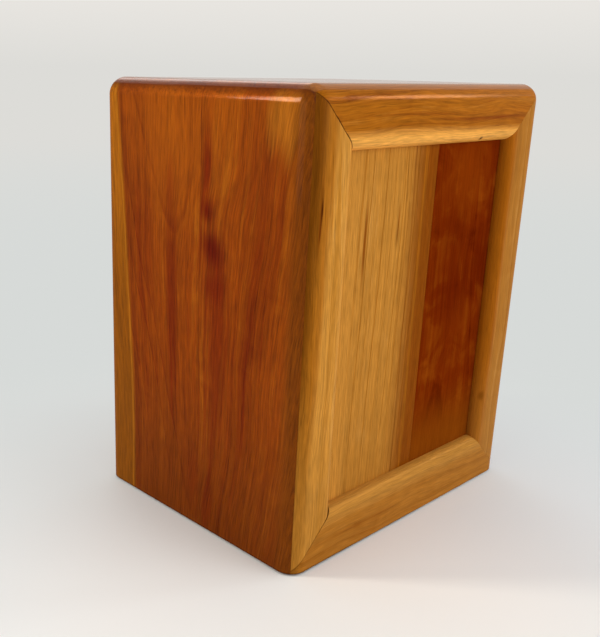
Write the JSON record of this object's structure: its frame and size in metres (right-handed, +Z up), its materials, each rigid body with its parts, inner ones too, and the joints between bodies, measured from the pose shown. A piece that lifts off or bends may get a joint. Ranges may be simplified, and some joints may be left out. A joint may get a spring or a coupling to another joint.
{
  "type": "wooden keepsake case",
  "caption": "Upright hardwood keepsake case with rounded edges, a mitred frame around a recessed light-and-dark panel, and a screwed base that the case lifts off.",
  "frame": {"origin": "centre of the rim that the case stands on", "axes": "+Z up along the height, +X to the right of the framed front, and the front faces -Y"},
  "size_m": [0.197, 0.155, 0.241],
  "materials": {
    "cherry_case_boards": "red-brown cherry, satin lacquer",
    "cherry_frame": "golden cherry, satin lacquer",
    "cherry_sapwood": "pale cherry sapwood, satin lacquer",
    "cherry_heartwood": "dark red cherry heartwood, satin lacquer",
    "maple_splines": "bare maple",
    "poplar_blocks": "bare sawn poplar",
    "cherry_base": "cherry, thin matt lacquer",
    "screw_brass": "plain brass"
  },
  "bodies": {
    "base": {"base_panel": "cherry_base", "base_screws": "screw_brass"},
    "case": {"left_side": "cherry_case_boards", "right_side": "cherry_case_boards", "back_board": "cherry_case_boards", "top_board": "cherry_case_boards", "left_stile": "cherry_frame", "right_stile": "cherry_frame", "top_rail": "cherry_frame", "bottom_rail": "cherry_frame", "panel_sapwood_stave": "cherry_sapwood", "panel_heartwood_stave": "cherry_heartwood", "frame_spline_upper_left": "maple_splines", "frame_spline_upper_right": "maple_splines", "frame_spline_lower_left": "maple_splines", "frame_spline_lower_right": "maple_splines", "corner_spline_front_left": "maple_splines", "corner_spline_front_right": "maple_splines", "corner_spline_back_left": "maple_splines", "corner_spline_back_right": "maple_splines", "top_spline_left": "maple_splines", "top_spline_right": "maple_splines", "top_spline_front": "maple_splines", "top_spline_back": "maple_splines", "corner_block_front_left": "poplar_blocks", "corner_block_front_right": "poplar_blocks", "corner_block_back_left": "poplar_blocks", "corner_block_back_right": "poplar_blocks"}
  },
  "joints": [
    {"name": "case_lift", "type": "slide", "parent": "base", "child": "case", "axis": [0, 0, 1], "range_m": [0, 0.15]}
  ]
}
